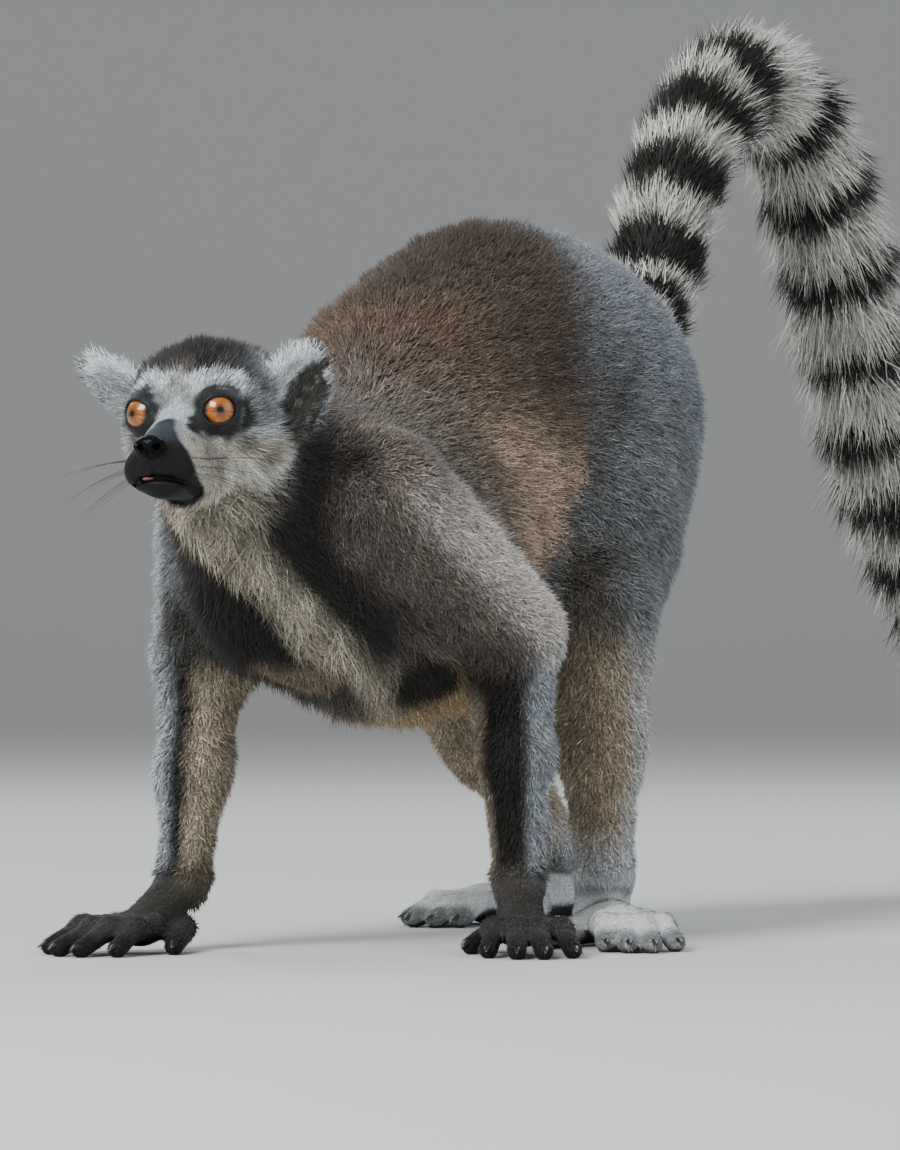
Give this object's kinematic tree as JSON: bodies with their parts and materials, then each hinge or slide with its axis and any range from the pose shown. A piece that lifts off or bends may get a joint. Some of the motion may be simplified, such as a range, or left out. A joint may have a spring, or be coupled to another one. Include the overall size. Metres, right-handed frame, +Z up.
{
  "type": "ring-tailed lemur",
  "caption": "Life-size still figure of a ring-tailed lemur standing on all fours, back arched, head turned, banded tail arched up and out behind.",
  "frame": {"origin": "centre of the bounding box's footprint, on the floor under the soles", "axes": "the animal faces -Y, its left side is +X, +Z is up and the tail runs out towards +Y"},
  "size_m": [0.1852, 0.747, 0.3711],
  "materials": {
    "face_fur": "short pale fur over the face, dark round the eyes and on the muzzle",
    "neck_fur": "dense charcoal fur, pale at the throat",
    "body_fur": "dense plush grey-brown fur",
    "limb_fur": "dense short grey fur",
    "hand_skin": "dark skin with sparse grey hair",
    "foot_fur": "short pale grey fur with dark pads",
    "tail_fur": "long loose fur in black and white rings over a thin core",
    "eye": "glossy amber eye"
  },
  "bodies": {
    "root": {"head": "face_fur", "neck": "neck_fur", "trunk": "body_fur", "ear_left": "face_fur", "upper_arm_left": "limb_fur", "forearm_left": "limb_fur", "hand_left": "hand_skin", "thigh_left": "limb_fur", "shank_left": "limb_fur", "foot_left": "foot_fur", "ear_right": "face_fur", "upper_arm_right": "limb_fur", "forearm_right": "limb_fur", "hand_right": "hand_skin", "thigh_right": "limb_fur", "shank_right": "limb_fur", "foot_right": "foot_fur", "tail_root": "tail_fur", "tail_arch": "tail_fur", "tail_fall": "tail_fur", "tail_end": "tail_fur", "eye_left": "eye", "eye_right": "eye"}
  },
  "joints": []
}
